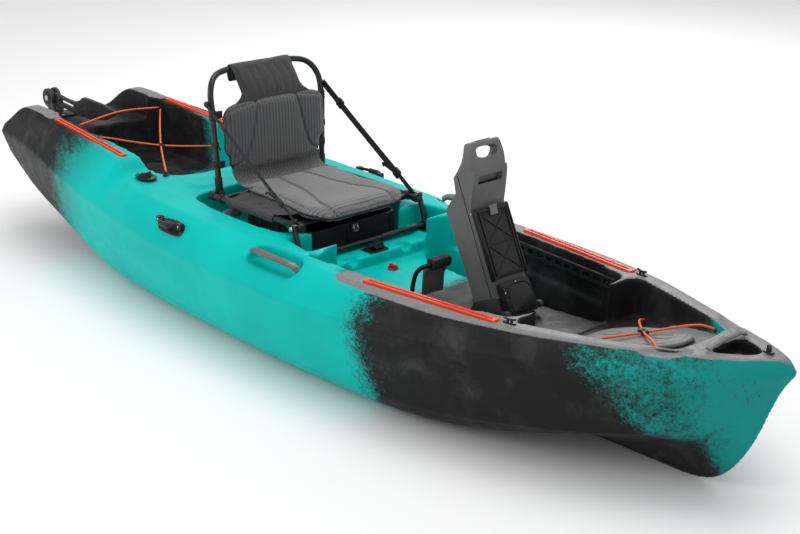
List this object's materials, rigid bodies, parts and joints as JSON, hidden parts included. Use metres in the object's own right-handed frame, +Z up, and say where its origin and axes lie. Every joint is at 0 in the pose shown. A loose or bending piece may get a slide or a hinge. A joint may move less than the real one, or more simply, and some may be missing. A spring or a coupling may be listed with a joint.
{
  "type": "pedal boat",
  "caption": "Sit-on-top fishing boat with moulded hull, framed fabric seat, lifting electric drive console, foot pedals that steer a fold-down rudder, gear tracks and hatch.",
  "frame": {"origin": "on the flat underside of the keel, midway along the hull", "axes": "+X towards the bow, +Y to port, +Z up"},
  "size_m": [3.307, 0.8864, 0.779],
  "materials": {
    "hull": "marbled rotomoulded polyethylene, fine orange peel",
    "deck_grey": "satin moulded plastic",
    "dark_grey": "satin moulded plastic",
    "black_plastic": "fine textured plastic",
    "orange_plastic": "semi-gloss moulded plastic",
    "orange_cord": "braided shock cord",
    "seat_fabric": "woven mesh over foam",
    "webbing": "woven strap",
    "black_tube": "black anodised",
    "steel": "brushed stainless",
    "red_plastic": "moulded plastic",
    "hatch_grey": "satin moulded plastic"
  },
  "bodies": {
    "boat": {"hull": "hull", "gear_track_aft_starboard": "orange_plastic", "gear_track_aft_port": "orange_plastic", "gear_track_forward_starboard": "orange_plastic", "gear_track_forward_port": "orange_plastic", "hatch_rim": "dark_grey", "console_base": "dark_grey", "side_grip_starboard": "dark_grey", "side_grip_port": "dark_grey", "tank_well_mat": "dark_grey", "bow_grip": "deck_grey", "console_rear_shell": "deck_grey", "console_front_shell": "deck_grey", "console_handle": "deck_grey", "bow_eyelet": "black_plastic", "foot_rail_starboard": "black_plastic", "foot_rail_port": "black_plastic", "rod_holder_starboard": "black_plastic", "rod_holder_port": "black_plastic", "carry_bracket_starboard": "black_plastic", "carry_bracket_port": "black_plastic", "step_latch_base": "black_plastic", "rudder_bracket": "black_plastic", "console_cover": "black_plastic", "console_foot_box": "black_plastic", "battery_pack": "black_plastic", "pedal_foot_starboard": "black_plastic", "pedal_foot_port": "black_plastic", "storage_bin": "black_plastic", "rudder_bungee": "orange_cord", "tank_well_bungee": "orange_cord", "drain_plug": "red_plastic", "seat_base_frame": "black_tube", "seat_pan_cushion": "seat_fabric", "back_strap_starboard": "webbing", "back_strap_port": "webbing"},
    "hatch": {"hatch_lid": "hatch_grey", "bow_bungee": "orange_cord"},
    "carry_bail_starboard_body": {"carry_bail_starboard": "black_plastic"},
    "carry_bail_port_body": {"carry_bail_port": "black_plastic"},
    "seat_lock": {"step_latch_lever": "black_plastic"},
    "rudder_head": {"rudder_yoke": "dark_grey", "rudder_steer_pin": "steel", "rudder_hub_pin": "steel"},
    "rudder": {"rudder_blade": "black_plastic"},
    "cover_latch": {"console_cover_latch": "black_plastic"},
    "throttle": {"speed_knob": "black_plastic"},
    "drive_leg": {"drive_column": "steel", "motor_pod": "black_plastic"},
    "screw": {"propeller": "black_plastic"},
    "pedal_starboard": {"pedal_arm_starboard": "dark_grey", "pedal_pad_starboard": "black_plastic"},
    "pedal_port": {"pedal_arm_port": "dark_grey", "pedal_pad_port": "black_plastic"},
    "front_legs": {"seat_legs": "black_tube"},
    "seat_back": {"seat_back_hoop": "black_tube", "seat_back_cushion": "seat_fabric", "headrest_pad": "seat_fabric"},
    "bin_catch": {"bin_latch": "steel"}
  },
  "joints": [
    {"name": "hatch_hinge", "type": "hinge", "parent": "boat", "child": "hatch", "pos_m": [1.298, 0, 0.352], "axis": [0, 1, 0], "range_deg": [0, 75]},
    {"name": "carry_bail_starboard_swing", "type": "hinge", "parent": "boat", "child": "carry_bail_starboard_body", "pos_m": [-0.322, -0.405, 0.348], "axis": [-1, 0, 0], "range_deg": [0, 95]},
    {"name": "carry_bail_port_swing", "type": "hinge", "parent": "boat", "child": "carry_bail_port_body", "pos_m": [-0.322, 0.405, 0.348], "axis": [1, 0, 0], "range_deg": [0, 95]},
    {"name": "seat_lock_lift", "type": "hinge", "parent": "boat", "child": "seat_lock", "pos_m": [0.15, 0, 0.2994], "axis": [0, -1, 0], "range_deg": [0, 80]},
    {"name": "rudder_steer", "type": "hinge", "parent": "boat", "child": "rudder_head", "pos_m": [-1.63, 0, 0.36], "axis": [0, 0, 1], "range_deg": [-20, 20]},
    {"name": "rudder_lift", "type": "hinge", "parent": "rudder_head", "child": "rudder", "pos_m": [-1.672, 0, 0.42], "axis": [0, -1, 0], "range_deg": [0, 262]},
    {"name": "cover_latch_hinge", "type": "hinge", "parent": "boat", "child": "cover_latch", "pos_m": [0.6225, 0, 0.5371], "axis": [0, -1, 0], "range_deg": [0, 70]},
    {"name": "throttle_turn", "type": "hinge", "parent": "boat", "child": "throttle", "pos_m": [0.5282, 0, 0.5399], "axis": [-0.8408, 0, 0.5413], "range_deg": [-135, 135]},
    {"name": "drive_lift", "type": "slide", "parent": "boat", "child": "drive_leg", "axis": [0.4067, 0, -0.9135], "range_m": [0, 0.28]},
    {"name": "screw_spin", "type": "hinge", "parent": "drive_leg", "child": "screw", "pos_m": [0.641, 0, 0.118], "axis": [1, 0, 0], "continuous": true},
    {"name": "pedal_starboard_tilt", "type": "hinge", "parent": "boat", "child": "pedal_starboard", "pos_m": [0.492, -0.176, 0.15], "axis": [0, 1, 0], "range_deg": [-12, 12]},
    {"name": "pedal_port_tilt", "type": "hinge", "parent": "boat", "child": "pedal_port", "pos_m": [0.492, 0.176, 0.15], "axis": [0, 1, 0], "range_deg": [-12, 12]},
    {"name": "front_legs_fold", "type": "hinge", "parent": "boat", "child": "front_legs", "pos_m": [0.074, 0, 0.387], "axis": [0, -1, 0], "range_deg": [0, 60]},
    {"name": "seat_back_recline", "type": "hinge", "parent": "boat", "child": "seat_back", "pos_m": [-0.338, 0, 0.39], "axis": [0, 1, 0], "range_deg": [-15, 25]},
    {"name": "bin_catch_flip", "type": "hinge", "parent": "boat", "child": "bin_catch", "pos_m": [0.0614, 0, 0.343], "axis": [0, -1, 0], "range_deg": [0, 60]}
  ],
  "couplings": [
    {"joint": "pedal_starboard_tilt", "follows": "rudder_steer", "ratio": 0.6},
    {"joint": "pedal_port_tilt", "follows": "rudder_steer", "ratio": -0.6}
  ]
}
